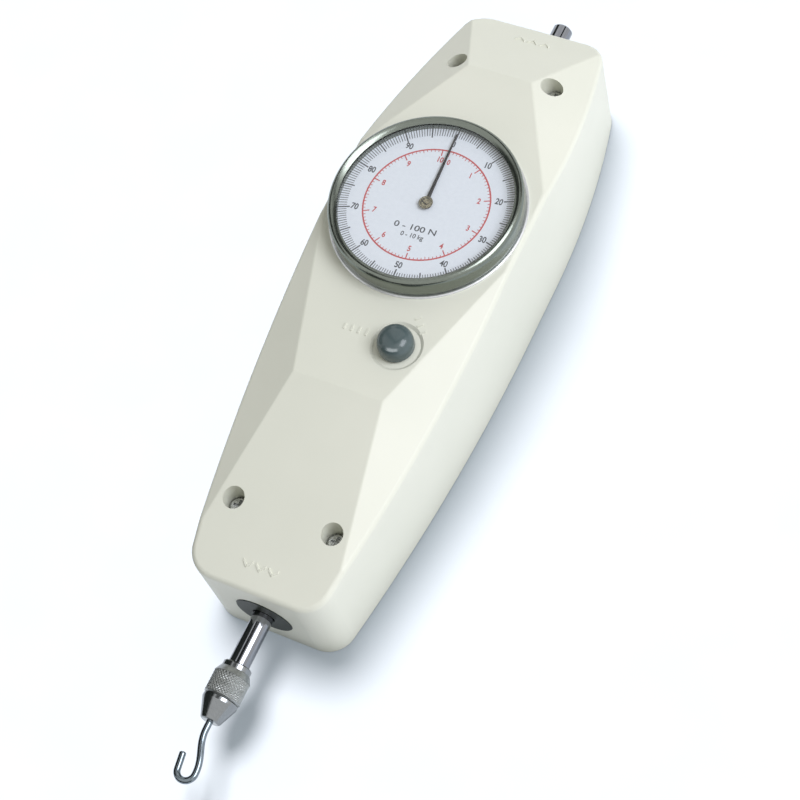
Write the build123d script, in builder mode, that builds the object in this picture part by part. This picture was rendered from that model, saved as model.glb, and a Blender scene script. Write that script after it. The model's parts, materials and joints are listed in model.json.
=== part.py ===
from build123d import *
import os
from math import acos, atan2, cos, pi, radians, sin, sqrt, tan

# Mechanical push/pull force gauge, in millimetres.
# It lies on its back: +Y runs from the pull end to the push end, +Z leaves the dial,
# X = 0 is the centreline and Z = 0 the flat of the back. Stations along Y are counted
# from the pull end of the housing; write() moves the pieces to the middle of the back.

# ---- Driving dimensions ----
body_length = 190.0
body_width = 58.8            # across the widest part, at the face
face_height = 42.4           # plane of the dial and the knob
wall = 2.5
wall_draft = 0.5             # degrees, the housing widens towards its face
ridge_radius = 1.6           # soft ridges between the facets

pull_end_half_width = 19.7   # both at the back, before the corners are rounded
push_end_half_width = 20.6
widest_from = 107.0          # the sides run straight between these two stations
widest_to = 127.0
corner_radius = 8.0

# Corners of the facets on the right-hand side; the left mirrors them
pull_face_corner = (13.6, 58.5, face_height)
push_face_corner = (10.0, 165.1, face_height)
pull_wide_corner = (29.4, 110.0, face_height)
push_wide_corner = (29.4, 130.0, face_height)
pull_end_corner = (23.2, 0.0, 30.6)
push_end_corner = (22.0, body_length, 30.0)

# Housing screws, down deep holes into posts of the rear cover
screw_x = 15.0
screw_stations = (21.5, 167.1)
screw_mouth_radius = 3.1
screw_seat_depth = 7.8       # below the facet at the hole's centre
screw_head_radius = 2.75
screw_head_height = 2.2
screw_radius = 1.5
boss_radius = 4.6
post_top = 14.0

cover_thickness = 3.0
cover_rim = 1.25             # housing wall left outside the cover
cover_gap = 0.1
mount_spacing_x = 32.0
mount_spacing_y = 100.0
mount_centre_y = 95.0
mount_hole_radius = 2.1      # tapped M5, at its minor radius
mount_pad_top = 7.0
mount_pad_radius = 5.0

shaft_z = 14.5
shaft_radius = 3.0
shaft_bottom = -21.0
stud_from = 187.5
stud_top = 202.8
end_plate_radius = 8.5
end_plate_depth = 1.8
end_boss_radius = 11.0
end_boss_depth = 6.0
end_boss_gap = 1.0           # from the end face to the boss
running_gap = 0.05

dial_y = 116.6
dial_turn = 2.8              # degrees that the zeroed dial and the pointer stand turned by
dial_face = 45.4
dial_radius = 25.6
cup_radius = 23.8
seat_radius = 28.2
bezel_radius = 27.5
bezel_top = 49.2
lens_from = 47.1
lens_to = 48.1
pointer_length = 23.4

knob_x = 10.0
knob_y = 75.0
knob_radius = 5.1
knob_top = 48.3
knob_dome = 4.0              # height of the domed top
knob_recess_radius = 7.4     # at the face
recess_floor_radius = 6.5
knob_recess_depth = 0.7
spindle_radius = 2.0
cam_radius = 3.6
cam_offset = 1.1

rack_module = 0.5
rack_pinion_teeth = 24
train_module = 0.4
wheel_teeth = 60
centre_teeth = 16
pressure_angle = radians(20)
backlash = 0.07
arbor_radius = 0.8
pinion_x = 13.0

# Levels of the movement, bottom and top of each layer
base_z = (22.5, 24.0)
rack_z = (25.0, 28.0)
centre_pinion_z = (28.7, 32.0)
wheel_z = (29.5, 31.0)
hairspring_z = (32.8, 33.8)
bridge_z = (35.0, 36.5)
cup_floor_z = (37.8, 39.0)
pillar_places = ((-8.0, 103.0), (-12.0, 122.0), (10.0, 129.0))
pillar_radius = 1.8
plate_corners = ((-15.0, 100.5), (16.5, 100.5), (16.5, 114.0), (13.5, 132.0), (4.0, 132.0), (-15.0, 126.0))
movement_head = (1.5, 0.9)   # radius, height of the screw heads
movement_screw_depth = 4.0

# Stations along the shaft
lower_block = (15.0, 21.0)
upper_block = (160.0, 166.0)
bush_radius = 4.5
bush_flange = (6.0, 2.0)     # radius, thickness
spring_to = 70.0
spring_wire = 0.9            # radius of the wire
spring_radius = 6.6
spring_coils = 8
collar_length = 5.0
spring_collar_radius = 8.0
rest_collar_radius = 6.5
stop_radius = 4.9            # of the sleeve inside the spring
carrier = (84.0, 98.0)
carrier_width = 13.0
carrier_height = 10.5
carrier_below_axis = 5.0

collar_stations = (-17.4, -15.7)
collar_radius = 4.1
coupling_end = -25.8
coupling_radius = 5.25
coupling_neck = 4.3          # where it meets the collar
nose_end = -32.5
nose_radius = 5.0
nose_tip_radius = 2.9
hook_wire = 0.95             # radius of the wire
hook_bowl_radius = 2.6
hook_bowl = (0.5, -46.8)     # middle of the bowl
hook_bend_y = -34.5
hook_bend_pull = 5.0         # how far the bends run on before they turn
hook_lean = radians(9)       # the tip leans out by this angle
hook_tip_length = 4.8
hook_tip_rounding = 0.5

# Bearing blocks, each with a foot screwed to a pad of the rear cover
block_width = 18.0
block_length = 14.0
block_eye_radius = 7.5
block_pad_height = 3.0
block_foot_height = 2.4
block_screw_radius = 1.2
block_head = (2.1, 1.4)      # radius, height
end_plate_proud = 0.4
stud_neck = 1.5
stud_neck_length = 4.0       # screwed into the shaft
stud_relief = 2.7            # thinner where it passes the end plate
stud_land = 190.9            # start of the full radius, outside the plate
grub_radius = 1.25
carrier_grub_y = 88.0
riser_x = (1.2, 3.7)
riser_y = (90.0, 98.0)
rack_end_y = 124.0
pointer_levels = (46.0, 46.25)
pointer_bore = 0.6
pointer_boss = 1.7
pointer_cap_size = (2.0, 0.6)   # radius, height
pointer_root = 0.55
pointer_tip = 0.18
collet_radius = 1.5
hairspring_half_turns = 9
hairspring_growth = 0.45
pillar_screw = 0.8
seat_top = 43.1
neck_radius = 25.52
neck_top = 44.7
snap_z = (43.7, 44.2)
snap_outer = 26.1
bezel_foot = 43.3
bezel_lip = 24.9
cam_levels = (29.3, 31.3)
cam_bore = 1.4
lever_x = -2.0
lever_y = 86.0
lever_face_y = knob_y + 2.8  # 0.3 clear of the cam
lever_tail = (8.0, 16.0)     # X of the wide part, under cam and pad
lever_tail_y = 92.8
lever_eye = 3.2
lever_hole = (11.5, 85.0)
lever_hole_radius = 2.6
lever_pin_radius = 1.5
lever_shoulder_radius = 2.6
pad_size = (5.0, 1.8)
pad_centre = (12.75, lever_tail_y + 0.9)
swivel_neck = 3.3
swivel_head = 4.1

# ---- Worked out from them ----
full_travel = pi * rack_module * rack_pinion_teeth * centre_teeth / wheel_teeth
rack_pinion_radius = rack_module * rack_pinion_teeth / 2
centre_distance = train_module * (wheel_teeth + centre_teeth) / 2
rack_pitch = pi * rack_module
pinion_y = dial_y - sqrt(centre_distance**2 - pinion_x**2)
rack_x = pinion_x - rack_pinion_radius
spring_from = lower_block[1] + bush_flange[1]
roof_z = face_height - wall
recess_floor = face_height - knob_recess_depth
knob_boss_from = roof_z - 5  # the bearing of the knob's spindle, under the roof
clip_levels = (knob_boss_from - 1.0, knob_boss_from - 0.2)
rest_to = upper_block[0] - bush_flange[1] - 0.05
middle_station = (lower_block[0] + upper_block[1]) / 2   # the upper block mirrors the lower
block_foot_from = cover_thickness + block_pad_height
block_pads = (lower_block[1] - block_length / 2, upper_block[0] + block_length / 2)
block_screw_places = [(x, y) for y in (lower_block[0] - 4, upper_block[1] + 4) for x in (-5.5, 5.5)]


# ---- Helpers ----
def write(piece, name):
    """Save a finished piece, moved so that the origin is the middle of the back."""
    piece.part.label = name
    piece.part.location = Location((0, -body_length / 2, 0))
    export_step(piece.part, f"parts/{name}.step")


def along_y(station):
    """Sketch plane square to the shaft, with sketch X to the right and sketch Y up."""
    return Plane(origin=(0, station, shaft_z), x_dir=(1, 0, 0), z_dir=(0, -1, 0))


def facet(corner, second, third):
    """Plane through three corners, facing out of the housing."""
    first_edge = Vector(*second) - Vector(*corner)
    other_edge = Vector(*third) - Vector(*corner)
    normal = first_edge.cross(other_edge)
    if normal.Z < 0:
        normal = normal * -1
    return Plane(origin=corner, x_dir=first_edge, z_dir=normal)


def mirrored(corner):
    return (-corner[0], corner[1], corner[2])


def side_facet(face_corner, wide_corner, end_corner, side):
    corners = [face_corner, wide_corner, end_corner]
    if side < 0:
        corners = [mirrored(corner) for corner in corners]
    return facet(*corners)


facets = [
    facet(pull_face_corner, mirrored(pull_face_corner), pull_end_corner),
    facet(push_face_corner, mirrored(push_face_corner), push_end_corner),
]
for side in (1, -1):
    facets.append(side_facet(pull_face_corner, pull_wide_corner, pull_end_corner, side))
    facets.append(side_facet(push_face_corner, push_wide_corner, push_end_corner, side))


def outline(inset):
    """Barrel-shaped plan of the housing at its back, shrunk by an inset."""
    widest = body_width / 2 - face_height * tan(radians(wall_draft)) - inset
    low_half = pull_end_half_width - inset
    high_half = push_end_half_width - inset
    low_end = inset
    high_end = body_length - inset
    with BuildSketch() as plan:
        with BuildLine():
            Line((-low_half, low_end), (low_half, low_end))
            Line((-high_half, high_end), (high_half, high_end))
            for side in (1, -1):
                TangentArc((side * widest, widest_from), (side * low_half, low_end), tangent=(0, -1))
                Line((side * widest, widest_from), (side * widest, widest_to))
                TangentArc((side * widest, widest_to), (side * high_half, high_end), tangent=(0, 1))
        make_face()
        ends = [v for v in plan.vertices() if v.Y < low_end + 1 or v.Y > high_end - 1]
        fillet(ends, corner_radius - inset)
    return plan.sketch


def faceted_crown(inset, rounding):
    """Block wider than the housing, cut by the facets, with its ridges rounded."""
    with BuildPart() as crown:
        with BuildSketch(Plane((0, body_length / 2, 0))):
            Rectangle(1.5 * body_width, 1.2 * body_length)
        extrude(amount=face_height - inset)
        for plane in facets:
            split(bisect_by=plane.offset(-inset), keep=Keep.BOTTOM)
        if rounding:
            top = face_height - inset - 0.01
            ridges = [e for e in crown.edges() if e.bounding_box().max.Z > top]
            fillet(ridges, rounding)
    return crown.part


def body_block(inset, rounding=0):
    """Solid of the housing's outer form, moved inwards by an inset."""
    with BuildPart() as block:
        with BuildSketch():
            add(outline(inset))
        extrude(amount=face_height + 5, taper=-wall_draft)
        add(faceted_crown(inset, rounding), mode=Mode.INTERSECT)
    return block.part


def hole_centres():
    return [(side * screw_x, y) for y in screw_stations for side in (-1, 1)]


def facet_height(x, y):
    """Height of the housing's outside above a point of its plan."""
    heights = [face_height]
    for plane in facets:
        n = plane.z_dir
        o = plane.origin
        heights.append(o.Z - (n.X * (x - o.X) + n.Y * (y - o.Y)) / n.Z)
    return min(heights)


def seat_height(y):
    return facet_height(screw_x, y) - screw_seat_depth


shaft_axis = Axis((0, 0, shaft_z), (0, 1, 0))
dial_axis = Axis((0, dial_y, 0), (0, 0, 1))
knob_axis = Axis((knob_x, knob_y, 0), (0, 0, 1))


def turned(plane, axis, points, mode=Mode.ADD):
    """Ring turned about an axis from its closed half section."""
    with BuildSketch(plane) as section:
        Polygon(*points, align=None)
    revolve(section.sketch, axis=axis, mode=mode)


def around_shaft(points, mode=Mode.ADD):
    """Section given as (radius, station)."""
    turned(Plane((0, 0, shaft_z)), shaft_axis, points, mode)


def around_dial(points, mode=Mode.ADD):
    """Section given as (radius, height)."""
    turned(Plane((0, dial_y, 0), x_dir=(1, 0, 0), z_dir=(0, -1, 0)), dial_axis, points, mode)


def around_knob(points, mode=Mode.ADD):
    """Section given as (radius, height)."""
    turned(Plane((knob_x, knob_y, 0), x_dir=(1, 0, 0), z_dir=(0, -1, 0)), knob_axis, points, mode)


def sleeve(start, end, outer_radius, inner_radius):
    """Plain ring around the shaft between two stations."""
    around_shaft([(inner_radius, start), (outer_radius, start), (outer_radius, end), (inner_radius, end)])


def upright(low, high, radius, x, y, mode=Mode.ADD):
    """Round pillar, or hole, between two heights."""
    with BuildSketch(Plane.XY.offset(low)) as section:
        with Locations((x, y)):
            Circle(radius)
    extrude(section.sketch, amount=high - low, mode=mode)


def washer(low, high, outer_radius, inner_radius, x, y):
    with BuildSketch(Plane.XY.offset(low)) as section:
        with Locations((x, y)):
            Circle(outer_radius)
            Circle(inner_radius, mode=Mode.SUBTRACT)
    extrude(section.sketch, amount=high - low)


def cross_slot(top, depth, size, x, y):
    """Cross recess in a screw's head."""
    with BuildSketch(Plane.XY.offset(top - depth)) as cross:
        with Locations((x, y)):
            Rectangle(size, size / 4)
            Rectangle(size / 4, size)
    extrude(cross.sketch, amount=depth, mode=Mode.SUBTRACT)


def involute(angle):
    return tan(angle) - angle


def gear_points(teeth, module, first_tooth):
    """Outline of a spur gear about the origin, with a tooth centred on the first angle."""
    pitch = module * teeth / 2
    base = pitch * cos(pressure_angle)
    root = pitch - 1.3 * module
    tip = pitch + 0.95 * module
    half_at_pitch = pi / (2 * teeth) - backlash / (2 * pitch)

    def half_angle(radius):
        if radius <= base:
            return half_at_pitch + involute(pressure_angle)
        return half_at_pitch + involute(pressure_angle) - involute(acos(base / radius))

    radii = [root, max(base, root + 0.01), pitch, tip]
    points = []
    for tooth in range(teeth):
        middle = first_tooth + 2 * pi * tooth / teeth
        for radius in radii:
            angle = middle - half_angle(radius)
            points.append((radius * cos(angle), radius * sin(angle)))
        for radius in reversed(radii):
            angle = middle + half_angle(radius)
            points.append((radius * cos(angle), radius * sin(angle)))
    return points


def gear(levels, teeth, module, centre, first_tooth):
    with BuildSketch(Plane.XY.offset(levels[0])) as teeth_outline:
        with Locations(centre):
            Polygon(*gear_points(teeth, module, first_tooth), align=None)
    extrude(teeth_outline.sketch, amount=levels[1] - levels[0])


def rack_points():
    """Outline of the rack: a bar with teeth facing the pinion, a gap at the pinion's station."""
    slope = rack_module * tan(pressure_angle)
    half_pitch_width = rack_pitch / 4 - backlash / 2
    root = rack_x - 1.3 * rack_module
    tip = rack_x + 0.95 * rack_module
    points = [(riser_x[1], rack_end_y), (riser_x[1], riser_y[0]), (root, riser_y[0])]
    for tooth in range(-2, 9):
        middle = pinion_y + (tooth + 0.5) * rack_pitch
        points.append((root, middle - half_pitch_width - 1.3 * slope))
        points.append((tip, middle - half_pitch_width + 0.95 * slope))
        points.append((tip, middle + half_pitch_width - 0.95 * slope))
        points.append((root, middle + half_pitch_width + 1.3 * slope))
    points.append((root, rack_end_y))
    return points


def bush_section(outer_end, flange_end, direction):
    """Half section of a flanged bush; the flange lies past the block's inner side."""
    bore = shaft_radius + running_gap
    rim = flange_end + direction * bush_flange[1]
    return [(bore, outer_end), (bush_radius, outer_end), (bush_radius, flange_end),
            (bush_flange[0], flange_end), (bush_flange[0], rim), (bore, rim)]


os.makedirs("parts", exist_ok=True)

# ---- Housing ----
def on_one_wall(edge, walls):
    """An edge of the rim belongs to one wall face; an upright corner edge belongs to two."""
    return sum(any((edge.center() - e.center()).length < 1e-4 for e in w.edges()) for w in walls) == 1


with BuildPart() as screw_bosses:
    for x, y in hole_centres():
        upright(post_top + cover_gap, face_height, boss_radius, x, y)
    add(body_block(wall / 2), mode=Mode.INTERSECT)

with BuildPart() as front_housing:
    add(body_block(0, ridge_radius))
    walls = [f for f in front_housing.faces() if f.bounding_box().min.Z < 0.01 and f.bounding_box().max.Z > 5]
    rim = [e for e in front_housing.edges() if e.bounding_box().min.Z > 20 and on_one_wall(e, walls)]
    fillet(rim, ridge_radius)
    add(body_block(wall), mode=Mode.SUBTRACT)
    with BuildSketch():
        add(outline(cover_rim))
    extrude(amount=cover_thickness, mode=Mode.SUBTRACT)
    add(screw_bosses.part)
    for x, y in hole_centres():
        with BuildSketch():
            with Locations((x, y)):
                Circle(screw_radius + 0.2)
        extrude(amount=face_height + 1, mode=Mode.SUBTRACT)
        with BuildSketch(Plane.XY.offset(seat_height(y))):
            with Locations((x, y)):
                Circle(screw_mouth_radius)
        extrude(amount=face_height, mode=Mode.SUBTRACT)
    sleeve(end_boss_gap, end_boss_depth, end_boss_radius, shaft_radius)
    sleeve(body_length - end_boss_depth, body_length - end_boss_gap, end_boss_radius, shaft_radius)
    upright(knob_boss_from, face_height - 1, spindle_radius + 2.5, knob_x, knob_y)
    upright(knob_boss_from, face_height, spindle_radius + running_gap, knob_x, knob_y, Mode.SUBTRACT)
    around_knob([(0, recess_floor), (recess_floor_radius, recess_floor), (knob_recess_radius, face_height),
                 (knob_recess_radius, face_height + 1), (0, face_height + 1)], Mode.SUBTRACT)
    upright(roof_z - 1, face_height + 1, cup_radius, 0, dial_y, Mode.SUBTRACT)
    with BuildSketch(along_y(body_length + 5)):
        Circle(shaft_radius + 1)
    extrude(amount=body_length + 10, mode=Mode.SUBTRACT)
    with BuildSketch(along_y(end_plate_depth)):
        Circle(end_plate_radius)
    extrude(amount=5, mode=Mode.SUBTRACT)
    with BuildSketch(along_y(body_length + 5)):
        Circle(end_plate_radius)
    extrude(amount=5 + end_plate_depth, mode=Mode.SUBTRACT)
write(front_housing, "front_housing")

with BuildPart() as rear_cover:
    with BuildSketch():
        add(outline(cover_rim + cover_gap))
    extrude(amount=cover_thickness)
    chamfer(rear_cover.faces().sort_by(Axis.Z)[0].edges(), 0.4)
    mount_places = GridLocations(mount_spacing_x, mount_spacing_y, 2, 2)
    mount_centres = [(p.position.X, mount_centre_y + p.position.Y) for p in mount_places]
    for x, y in hole_centres():
        upright(cover_thickness, post_top, boss_radius - 0.4, x, y)
        upright(cover_thickness, post_top, screw_radius, x, y, Mode.SUBTRACT)
    for x, y in mount_centres:
        upright(cover_thickness, mount_pad_top, mount_pad_radius, x, y)
        upright(0, mount_pad_top, mount_hole_radius, x, y, Mode.SUBTRACT)
    for y in block_pads:
        with BuildSketch(Plane((0, y, cover_thickness))):
            Rectangle(block_width, block_length)
        extrude(amount=block_pad_height)
    for x, y in block_screw_places:
        upright(cover_thickness, cover_thickness + block_pad_height, block_screw_radius, x, y, Mode.SUBTRACT)
write(rear_cover, "rear_cover")

with BuildPart() as housing_screws:
    for x, y in hole_centres():
        seat = seat_height(y)
        upright(cover_thickness + 0.5, seat, screw_radius, x, y)
        upright(seat, seat + screw_head_height, screw_head_radius, x, y)
    tops = housing_screws.faces().filter_by(Axis.Z).filter_by(lambda f: f.normal_at().Z > 0 and f.area > 20)
    chamfer(tops.edges().filter_by(GeomType.CIRCLE), 0.6)
    for x, y in hole_centres():
        cross_slot(seat_height(y) + screw_head_height, 1.4, 3.4, x, y)
write(housing_screws, "housing_screws")

for name, edge, outward in (("pull_end_plate", 0, -1), ("push_end_plate", body_length, 1)):
    with BuildPart() as end_plate:
        outer = edge + outward * end_plate_proud
        inner = edge - outward * end_plate_depth
        sleeve(min(outer, inner), max(outer, inner), end_plate_radius, shaft_radius + 0.3)
        rims = end_plate.edges().filter_by(GeomType.CIRCLE).filter_by(lambda e: abs(e.center().Y - outer) < 0.01)
        chamfer(rims.sort_by(SortBy.RADIUS)[-1], 0.3)
    write(end_plate, name)

# ---- Bearing blocks ----
with BuildPart() as lower_bearing_block:
    with BuildSketch(along_y(lower_block[1])):
        Circle(block_eye_radius)
        with Locations((0, (block_foot_from - shaft_z) / 2)):
            Rectangle(2 * block_eye_radius, shaft_z - block_foot_from)
        Circle(bush_radius, mode=Mode.SUBTRACT)
    extrude(amount=lower_block[1] - lower_block[0])
    with BuildSketch(Plane((0, block_pads[0], block_foot_from))):
        Rectangle(block_width, block_length)
    extrude(amount=block_foot_height)
    for x, y in block_screw_places[:2]:
        upright(block_foot_from, shaft_z, block_screw_radius + 0.2, x, y, Mode.SUBTRACT)

with BuildPart() as upper_bearing_block:
    mirror(lower_bearing_block.part, about=Plane((0, middle_station, 0), z_dir=(0, 1, 0)))
write(lower_bearing_block, "lower_bearing_block")
write(upper_bearing_block, "upper_bearing_block")

with BuildPart() as shaft_bushes:
    around_shaft(bush_section(lower_block[0], lower_block[1], 1))
    around_shaft(bush_section(upper_block[1], upper_block[0], -1))
write(shaft_bushes, "shaft_bushes")

with BuildPart() as block_screws:
    for x, y in block_screw_places:
        seat = block_foot_from + block_foot_height
        upright(cover_thickness + 0.2, seat, block_screw_radius, x, y)
        upright(seat, seat + block_head[1], block_head[0], x, y)
    for x, y in block_screw_places:
        cross_slot(seat + block_head[1], 0.8, 2.4, x, y)
write(block_screws, "block_screws")

# ---- Measuring shaft and what rides on it ----
with BuildPart() as measuring_shaft:
    around_shaft([(0, shaft_bottom), (shaft_radius - 0.4, shaft_bottom), (shaft_radius, shaft_bottom + 0.4),
                  (shaft_radius, stud_from), (stud_neck, stud_from),
                  (stud_neck, stud_from - stud_neck_length), (0, stud_from - stud_neck_length)])
write(measuring_shaft, "measuring_shaft")

with BuildPart() as push_stud:
    around_shaft([(0, stud_from - stud_neck_length), (stud_neck, stud_from - stud_neck_length),
                  (stud_neck, stud_from + 1), (stud_relief, stud_from + 1), (stud_relief, stud_land),
                  (shaft_radius, stud_land), (shaft_radius, stud_top - 0.5), (shaft_radius - 0.5, stud_top),
                  (0, stud_top)])
write(push_stud, "push_stud")

with BuildPart() as main_spring:
    coil_from = spring_from + spring_wire
    coil_to = spring_to - spring_wire
    pitch = (coil_to - coil_from) / spring_coils
    with BuildLine() as coil:
        Helix(pitch, coil_to - coil_from, spring_radius, center=(0, coil_from, shaft_z), direction=(0, 1, 0))
    with BuildSketch(Plane(origin=coil.line @ 0, z_dir=coil.line % 0)):
        Circle(spring_wire)
    sweep(path=coil.line)
write(main_spring, "main_spring")

with BuildPart() as travel_stop:
    sleeve(spring_from, spring_to - full_travel - 0.05, stop_radius, shaft_radius + 0.4)
write(travel_stop, "travel_stop")

with BuildPart() as spring_collar:
    sleeve(spring_to, spring_to + collar_length, spring_collar_radius, shaft_radius)
    upright(shaft_z, shaft_z + 9, grub_radius, 0, spring_to + collar_length / 2, Mode.SUBTRACT)
write(spring_collar, "spring_collar")

with BuildPart() as rest_collar:
    sleeve(rest_to - collar_length, rest_to, rest_collar_radius, shaft_radius)
    upright(shaft_z, shaft_z + 9, grub_radius, 0, rest_to - collar_length / 2, Mode.SUBTRACT)
write(rest_collar, "rest_collar")

with BuildPart() as rack_carrier:
    with BuildSketch(Plane((0, (carrier[0] + carrier[1]) / 2, shaft_z - carrier_below_axis))):
        RectangleRounded(carrier_width, carrier[1] - carrier[0], 1)
    extrude(amount=carrier_height)
    with BuildSketch(Plane((0, 0, shaft_z))):
        with Locations(((riser_x[0] + riser_x[1]) / 2, (riser_y[0] + riser_y[1]) / 2)):
            Rectangle(riser_x[1] - riser_x[0], riser_y[1] - riser_y[0])
    extrude(amount=rack_z[1] - shaft_z)
    with BuildSketch(along_y(carrier[1])):
        Circle(shaft_radius)
    extrude(amount=carrier[1] - carrier[0], mode=Mode.SUBTRACT)
    upright(shaft_z, shaft_z + 9, grub_radius, 0, carrier_grub_y, Mode.SUBTRACT)
write(rack_carrier, "rack_carrier")

with BuildPart() as grub_screws:
    for y in (spring_to + collar_length / 2, rest_to - collar_length / 2, carrier_grub_y):
        upright(shaft_z + shaft_radius, shaft_z + shaft_radius + 2.3, grub_radius, 0, y)
write(grub_screws, "grub_screws")

with BuildPart() as rack:
    with BuildSketch(Plane.XY.offset(rack_z[0])):
        Polygon(*rack_points(), align=None)
    extrude(amount=rack_z[1] - rack_z[0])
write(rack, "rack")

# ---- Movement ----
with BuildPart() as rack_pinion:
    gear(rack_z, rack_pinion_teeth, rack_module, (pinion_x, pinion_y), pi)
    upright(base_z[0], bridge_z[1], arbor_radius, pinion_x, pinion_y)
write(rack_pinion, "rack_pinion")

mesh_angle = atan2(dial_y - pinion_y, -pinion_x)
with BuildPart() as drive_wheel:
    gear(wheel_z, wheel_teeth, train_module, (pinion_x, pinion_y), mesh_angle)
    upright(wheel_z[0], wheel_z[1], arbor_radius, pinion_x, pinion_y, Mode.SUBTRACT)
    with BuildSketch(Plane.XY.offset(wheel_z[0])):
        with Locations((pinion_x, pinion_y)):
            with PolarLocations(7.0, 5):
                Circle(2.7)
    extrude(amount=wheel_z[1] - wheel_z[0], mode=Mode.SUBTRACT)
write(drive_wheel, "drive_wheel")

with BuildPart() as centre_pinion:
    gap_angle = mesh_angle + pi + pi / centre_teeth
    gear(centre_pinion_z, centre_teeth, train_module, (0, dial_y), gap_angle)
    upright(base_z[0], dial_face - 1, arbor_radius, 0, dial_y)
    upright(dial_face - 1, pointer_levels[1], pointer_bore, 0, dial_y)
    upright(hairspring_z[0] - 0.3, hairspring_z[1] + 0.3, collet_radius, 0, dial_y)
write(centre_pinion, "centre_pinion")

with BuildPart() as hairspring:
    with BuildSketch(Plane.XY.offset(hairspring_z[0])):
        with BuildLine() as strip:
            radius = collet_radius + 0.3
            start = (radius, dial_y)
            for half_turn in range(hairspring_half_turns):
                direction = -1 if half_turn % 2 == 0 else 1
                next_radius = radius + hairspring_growth
                end = (direction * next_radius, dial_y)
                middle = ((start[0] + end[0]) / 2, dial_y - direction * (radius + next_radius) / 2)
                ThreePointArc(start, middle, end)
                start = end
                radius = next_radius
        trace(line_width=0.25)
    extrude(amount=hairspring_z[1] - hairspring_z[0])
write(hairspring, "hairspring")

for name, levels in (("movement_base", base_z), ("movement_bridge", bridge_z)):
    with BuildPart() as plate:
        with BuildSketch(Plane.XY.offset(levels[0])):
            with BuildLine():
                Polyline(*plate_corners, close=True)
            make_face()
            fillet(vertices(), 2)
            with Locations((0, dial_y), (pinion_x, pinion_y)):
                Circle(arbor_radius + running_gap, mode=Mode.SUBTRACT)
            with Locations(*pillar_places):
                Circle(pillar_screw + 0.1, mode=Mode.SUBTRACT)
        extrude(amount=levels[1] - levels[0])
    write(plate, name)

with BuildPart() as movement_pillars:
    for x, y in pillar_places:
        washer(base_z[1], bridge_z[0], pillar_radius, pillar_screw, x, y)
        washer(bridge_z[1], cup_floor_z[0], pillar_radius, pillar_screw, x, y)
write(movement_pillars, "movement_pillars")

with BuildPart() as movement_screws:
    for x, y in pillar_places:
        head_radius, head_height = movement_head
        upright(base_z[0], base_z[1] + movement_screw_depth, pillar_screw, x, y)
        upright(base_z[0] - head_height, base_z[0], head_radius, x, y)
        upright(bridge_z[0] - movement_screw_depth, cup_floor_z[1], pillar_screw, x, y)
        upright(cup_floor_z[1], cup_floor_z[1] + head_height, head_radius, x, y)
write(movement_screws, "movement_screws")

# ---- Dial ----
with BuildPart() as dial_seat:
    around_dial([(3, cup_floor_z[0]), (cup_radius, cup_floor_z[0]), (cup_radius, face_height),
                 (seat_radius, face_height), (seat_radius, face_height + 0.4), (seat_radius - 0.3, seat_top),
                 (neck_radius, seat_top), (neck_radius, snap_z[0] - 0.1), (neck_radius - 0.8, snap_z[0] - 0.1),
                 (neck_radius - 0.8, snap_z[1] + 0.1), (neck_radius, snap_z[1] + 0.1), (neck_radius, neck_top),
                 (cup_radius - 1.4, neck_top), (cup_radius - 1.4, cup_floor_z[1]), (3, cup_floor_z[1])])
    for x, y in pillar_places:
        upright(cup_floor_z[0], cup_floor_z[1], pillar_screw + 0.1, x, y, Mode.SUBTRACT)
write(dial_seat, "dial_seat")

with BuildPart() as seat_ring_nut:
    washer(roof_z - 2.5, roof_z, cup_radius + 2.8, cup_radius, 0, dial_y)
write(seat_ring_nut, "seat_ring_nut")

with BuildPart() as bezel:
    with BuildSketch(Plane((0, dial_y, 0), x_dir=(1, 0, 0), z_dir=(0, -1, 0))):
        with BuildLine():
            Polyline((bezel_lip, lens_to), (dial_radius, lens_to), (dial_radius, snap_z[1]),
                     (snap_outer, snap_z[1]), (snap_outer, snap_z[0]), (dial_radius, snap_z[0]),
                     (dial_radius, bezel_foot), (bezel_radius - 0.3, bezel_foot),
                     (bezel_radius, bezel_foot + 0.3), (bezel_radius, bezel_top - 1.6))
            TangentArc((bezel_radius, bezel_top - 1.6), (bezel_radius - 1.2, bezel_top), tangent=(0, 1))
            ThreePointArc((bezel_radius - 1.2, bezel_top), (bezel_lip + 0.7, bezel_top - 0.35),
                          (bezel_lip, lens_to + 0.2))
            Line((bezel_lip, lens_to + 0.2), (bezel_lip, lens_to))
        make_face()
    revolve(axis=dial_axis)
write(bezel, "bezel")

with BuildPart() as bezel_snap_ring:
    with BuildSketch(Plane.XY.offset(snap_z[0])):
        with Locations((0, dial_y)):
            Circle(snap_outer)
            Circle(neck_radius - 0.6, mode=Mode.SUBTRACT)
        with Locations((0, dial_y - neck_radius)):
            Rectangle(8, 6, mode=Mode.SUBTRACT)
    extrude(amount=snap_z[1] - snap_z[0])
write(bezel_snap_ring, "bezel_snap_ring")

with BuildPart() as dial_plate:
    washer(dial_face - 0.5, dial_face, dial_radius, 1.6, 0, dial_y)
write(dial_plate, "dial_plate")

with BuildPart() as dial_spacer:
    washer(dial_face, lens_from, dial_radius, bezel_lip, 0, dial_y)
write(dial_spacer, "dial_spacer")

with BuildPart() as lens:
    upright(lens_from, lens_to, dial_radius, 0, dial_y)
write(lens, "lens")

with BuildPart() as pointer:
    with BuildSketch(Plane.XY.offset(pointer_levels[0])):
        with Locations(Location((0, dial_y), dial_turn)):
            Polygon((-pointer_root, 0), (pointer_root, 0), (pointer_tip, pointer_length),
                    (-pointer_tip, pointer_length), align=None)
        with Locations((0, dial_y)):
            Circle(pointer_boss)
            Circle(pointer_bore, mode=Mode.SUBTRACT)
    extrude(amount=pointer_levels[1] - pointer_levels[0])
write(pointer, "pointer")

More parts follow.
